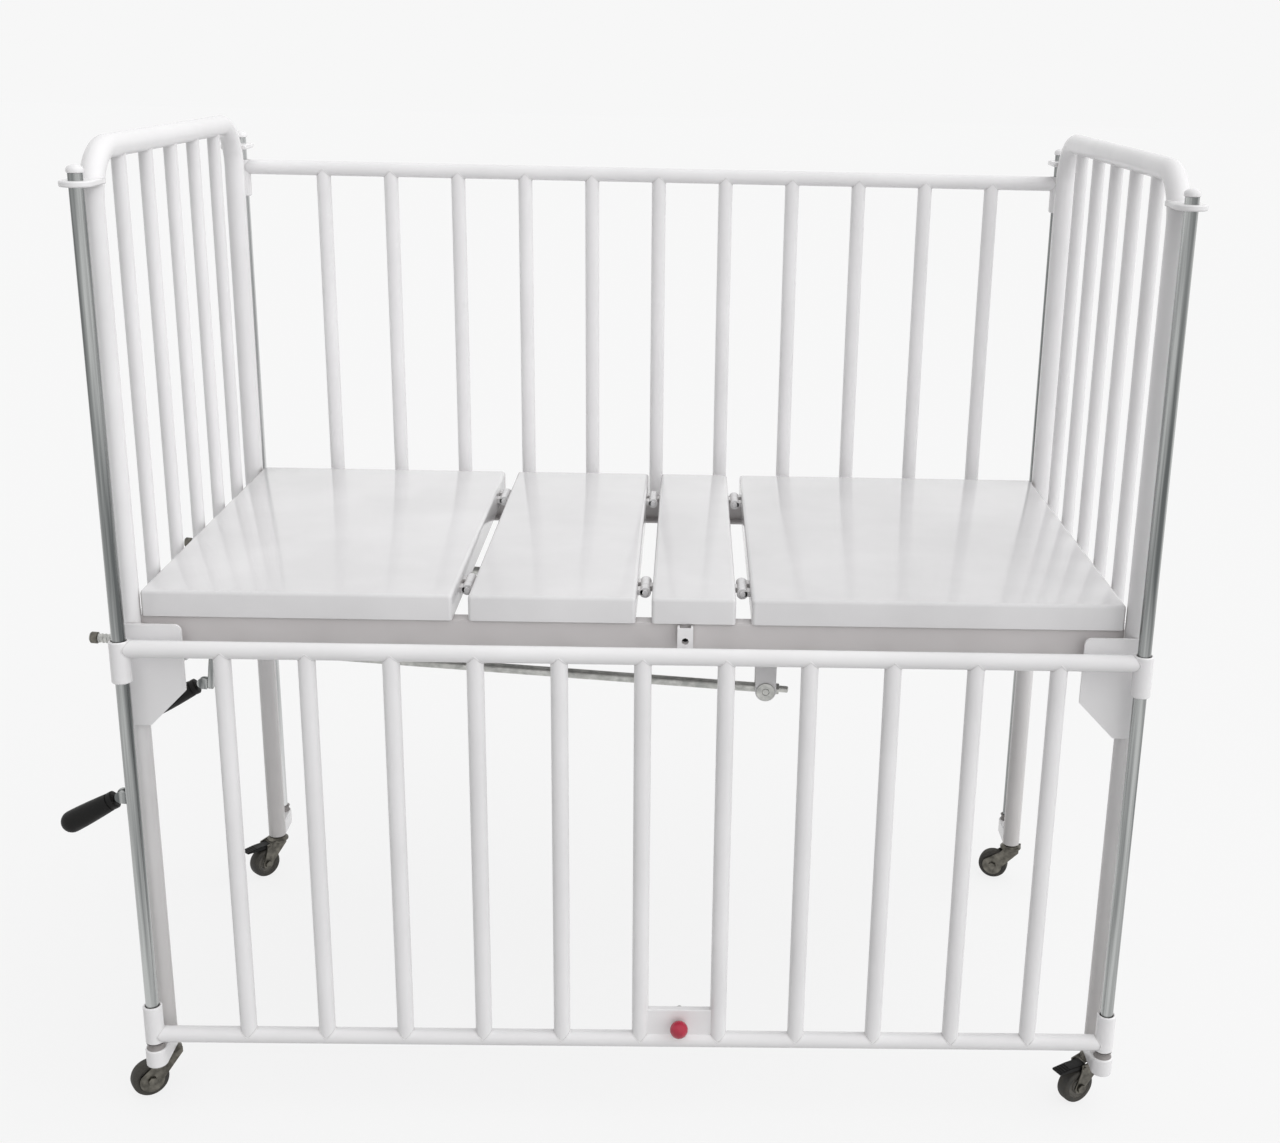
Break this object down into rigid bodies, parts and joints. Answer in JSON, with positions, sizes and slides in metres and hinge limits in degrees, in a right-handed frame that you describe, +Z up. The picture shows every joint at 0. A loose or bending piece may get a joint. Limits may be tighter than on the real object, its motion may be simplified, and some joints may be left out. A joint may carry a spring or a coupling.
{
  "type": "pediatric hospital cot",
  "caption": "White steel-tube hospital cot for children with barred sliding side rails on chrome guide rods, a crank-raised sectional deck and four casters, two of them braked.",
  "frame": {"origin": "on the floor under the middle of the bounding box", "axes": "+X along the cot towards the head end, +Y across towards the raised rail, +Z up"},
  "size_m": [1.4504, 0.79, 1.2718],
  "materials": {
    "enamel": "white stove enamel",
    "chrome": "bright chrome plate",
    "zinc": "zinc-plated steel",
    "rubber": "moulded rubber",
    "black_plastic": "black moulded plastic",
    "red_plastic": "glossy red plastic",
    "wheel_grey": "dark grey wheel"
  },
  "bodies": {
    "frame": {"foot_end_tube": "enamel", "foot_end_grille": "enamel", "front_foot_guide_rod": "chrome", "front_foot_rod_cap": "enamel", "front_foot_rail_buffer": "rubber", "rear_foot_guide_rod": "chrome", "rear_foot_rod_cap": "enamel", "rear_foot_rail_buffer": "rubber", "head_end_tube": "enamel", "head_end_grille": "enamel", "front_head_guide_rod": "chrome", "front_head_rod_cap": "enamel", "front_head_rail_buffer": "rubber", "rear_head_guide_rod": "chrome", "rear_head_rod_cap": "enamel", "rear_head_rail_buffer": "rubber", "front_latch_striker": "enamel", "rear_latch_striker": "enamel", "front_side_member": "enamel", "rear_side_member": "enamel", "foot_cross_member": "enamel", "seat_cross_member": "enamel", "head_cross_member": "enamel", "seat_panel": "enamel"},
    "front_rail": {"front_side_rail": "enamel"},
    "rear_rail": {"rear_side_rail": "enamel"},
    "front_latch": {"front_latch_knob": "red_plastic"},
    "rear_latch": {"rear_latch_knob": "red_plastic"},
    "backrest": {"backrest_panel": "enamel"},
    "thigh": {"thigh_panel": "enamel"},
    "leg": {"leg_panel": "enamel"},
    "backrest_swivel_block": {"backrest_swivel_block": "zinc"},
    "backrest_crank": {"backrest_crank": "chrome"},
    "backrest_spindle": {"backrest_spindle": "zinc"},
    "backrest_grip_pin": {"backrest_crank_grip_pin": "chrome"},
    "backrest_grip": {"backrest_crank_grip": "black_plastic"},
    "knee_swivel_block": {"knee_swivel_block": "zinc"},
    "knee_crank": {"knee_crank": "chrome"},
    "knee_spindle": {"knee_spindle": "zinc"},
    "knee_grip_pin": {"knee_crank_grip_pin": "chrome"},
    "knee_grip": {"knee_crank_grip": "black_plastic"},
    "front_foot_caster": {"front_foot_caster_fork": "zinc"},
    "front_foot_wheel": {"front_foot_caster_wheel": "wheel_grey"},
    "front_head_caster": {"front_head_caster_fork": "zinc"},
    "front_head_wheel": {"front_head_caster_wheel": "wheel_grey"},
    "front_head_brake": {"front_head_brake_pedal": "black_plastic"},
    "rear_foot_caster": {"rear_foot_caster_fork": "zinc"},
    "rear_foot_wheel": {"rear_foot_caster_wheel": "wheel_grey"},
    "rear_foot_brake": {"rear_foot_brake_pedal": "black_plastic"},
    "rear_head_caster": {"rear_head_caster_fork": "zinc"},
    "rear_head_wheel": {"rear_head_caster_wheel": "wheel_grey"}
  },
  "joints": [
    {"name": "front_rail_slide", "type": "slide", "parent": "frame", "child": "front_rail", "axis": [0, 0, 1], "range_m": [0, 0.53]},
    {"name": "rear_rail_slide", "type": "slide", "parent": "frame", "child": "rear_rail", "axis": [0, 0, 1], "range_m": [-0.53, 0]},
    {"name": "front_latch_pull", "type": "slide", "parent": "front_rail", "child": "front_latch", "axis": [0, -1, 0], "range_m": [0, 0.011], "stiffness_N_per_m": 400, "springref_m": -0.01},
    {"name": "rear_latch_pull", "type": "slide", "parent": "rear_rail", "child": "rear_latch", "axis": [0, 1, 0], "range_m": [0, 0.011], "stiffness_N_per_m": 400, "springref_m": -0.01},
    {"name": "backrest_hinge", "type": "hinge", "parent": "frame", "child": "backrest", "pos_m": [0.20466, 0, 0.705], "axis": [0, -1, 0], "range_deg": [0, 50]},
    {"name": "thigh_hinge", "type": "hinge", "parent": "frame", "child": "thigh", "pos_m": [0.07766, 0, 0.705], "axis": [0, 1, 0], "range_deg": [0, 35]},
    {"name": "leg_hinge", "type": "hinge", "parent": "thigh", "child": "leg", "pos_m": [-0.15384, 0, 0.705], "axis": [0, 1, 0], "range_deg": [-55, 0]},
    {"name": "backrest_swivel", "type": "hinge", "parent": "frame", "child": "backrest_swivel_block", "pos_m": [-0.54684, -0.216, 0.614], "axis": [0, -1, 0], "range_deg": [-0.2, 5.25]},
    {"name": "backrest_crank_spin", "type": "hinge", "parent": "backrest_swivel_block", "child": "backrest_crank", "pos_m": [-0.54684, -0.216, 0.614], "axis": [0.9979, 0, -0.0647], "range_deg": [0, 3600]},
    {"name": "backrest_trunnion", "type": "hinge", "parent": "backrest", "child": "backrest_spindle", "pos_m": [0.23966, -0.216, 0.563], "axis": [0, -1, 0], "range_deg": [-45.15, 0.2]},
    {"name": "backrest_grip_fold", "type": "hinge", "parent": "backrest_crank", "child": "backrest_grip_pin", "pos_m": [-0.63431, -0.21994, 0.39323], "axis": [-0.0011, 0.9998, -0.0174], "range_deg": [0, 75]},
    {"name": "backrest_grip_spin", "type": "hinge", "parent": "backrest_grip_pin", "child": "backrest_grip", "pos_m": [-0.63431, -0.21994, 0.39323], "axis": [-0.8722, -0.0095, -0.4891], "continuous": true},
    {"name": "knee_swivel", "type": "hinge", "parent": "frame", "child": "knee_swivel_block", "pos_m": [-0.54684, 0.216, 0.614], "axis": [0, -1, 0], "range_deg": [-0.2, 4]},
    {"name": "knee_crank_spin", "type": "hinge", "parent": "knee_swivel_block", "child": "knee_crank", "pos_m": [-0.54684, 0.216, 0.614], "axis": [0.9963, 0, -0.0862], "range_deg": [0, 2520]},
    {"name": "knee_trunnion", "type": "hinge", "parent": "thigh", "child": "knee_spindle", "pos_m": [0.04266, 0.216, 0.563], "axis": [0, 1, 0], "range_deg": [-39, 0.2]},
    {"name": "knee_grip_fold", "type": "hinge", "parent": "knee_crank", "child": "knee_grip_pin", "pos_m": [-0.63894, 0.19238, 0.39637], "axis": [-0.009, 0.9945, -0.1041], "range_deg": [0, 75]},
    {"name": "knee_grip_spin", "type": "hinge", "parent": "knee_grip_pin", "child": "knee_grip", "pos_m": [-0.63894, 0.19238, 0.39637], "axis": [-0.8822, -0.0569, -0.4674], "continuous": true},
    {"name": "front_foot_caster_swivel", "type": "hinge", "parent": "frame", "child": "front_foot_caster", "pos_m": [-0.56884, -0.316, 0], "axis": [0, 0, 1], "continuous": true},
    {"name": "front_foot_wheel_roll", "type": "hinge", "parent": "front_foot_caster", "child": "front_foot_wheel", "pos_m": [-0.59205, -0.33166, 0.025], "axis": [0.5592, -0.829, 0], "continuous": true},
    {"name": "front_head_caster_swivel", "type": "hinge", "parent": "frame", "child": "front_head_caster", "pos_m": [0.70616, -0.316, 0], "axis": [0, 0, 1], "continuous": true},
    {"name": "front_head_wheel_roll", "type": "hinge", "parent": "front_head_caster", "child": "front_head_wheel", "pos_m": [0.68144, -0.32915, 0.025], "axis": [0.4695, -0.8829, 0], "continuous": true},
    {"name": "front_head_brake_press", "type": "hinge", "parent": "front_head_caster", "child": "front_head_brake", "pos_m": [0.68532, -0.32708, 0.055], "axis": [0.4695, -0.8829, 0], "range_deg": [0, 8]},
    {"name": "rear_foot_caster_swivel", "type": "hinge", "parent": "frame", "child": "rear_foot_caster", "pos_m": [-0.56884, 0.316, 0], "axis": [0, 0, 1], "continuous": true},
    {"name": "rear_foot_wheel_roll", "type": "hinge", "parent": "rear_foot_caster", "child": "rear_foot_wheel", "pos_m": [-0.58864, 0.2962, 0.025], "axis": [0.7071, -0.7071, 0], "continuous": true},
    {"name": "rear_foot_brake_press", "type": "hinge", "parent": "rear_foot_caster", "child": "rear_foot_brake", "pos_m": [-0.58553, 0.29931, 0.055], "axis": [0.7071, -0.7071, 0], "range_deg": [0, 8]},
    {"name": "rear_head_caster_swivel", "type": "hinge", "parent": "frame", "child": "rear_head_caster", "pos_m": [0.70616, 0.316, 0], "axis": [0, 0, 1], "continuous": true},
    {"name": "rear_head_wheel_roll", "type": "hinge", "parent": "rear_head_caster", "child": "rear_head_wheel", "pos_m": [0.67985, 0.32558, 0.025], "axis": [-0.342, -0.9397, 0], "continuous": true}
  ],
  "couplings": [
    {"joint": "backrest_hinge", "follows": "backrest_crank_spin", "ratio": 0.013889},
    {"joint": "backrest_swivel", "follows": "backrest_crank_spin", "ratio": 0.0014028},
    {"joint": "backrest_trunnion", "follows": "backrest_crank_spin", "ratio": -0.012486},
    {"joint": "thigh_hinge", "follows": "knee_crank_spin", "ratio": 0.013889},
    {"joint": "knee_swivel", "follows": "knee_crank_spin", "ratio": 0.0015083},
    {"joint": "knee_trunnion", "follows": "knee_crank_spin", "ratio": -0.015397},
    {"joint": "leg_hinge", "follows": "knee_crank_spin", "ratio": -0.021667}
  ]
}
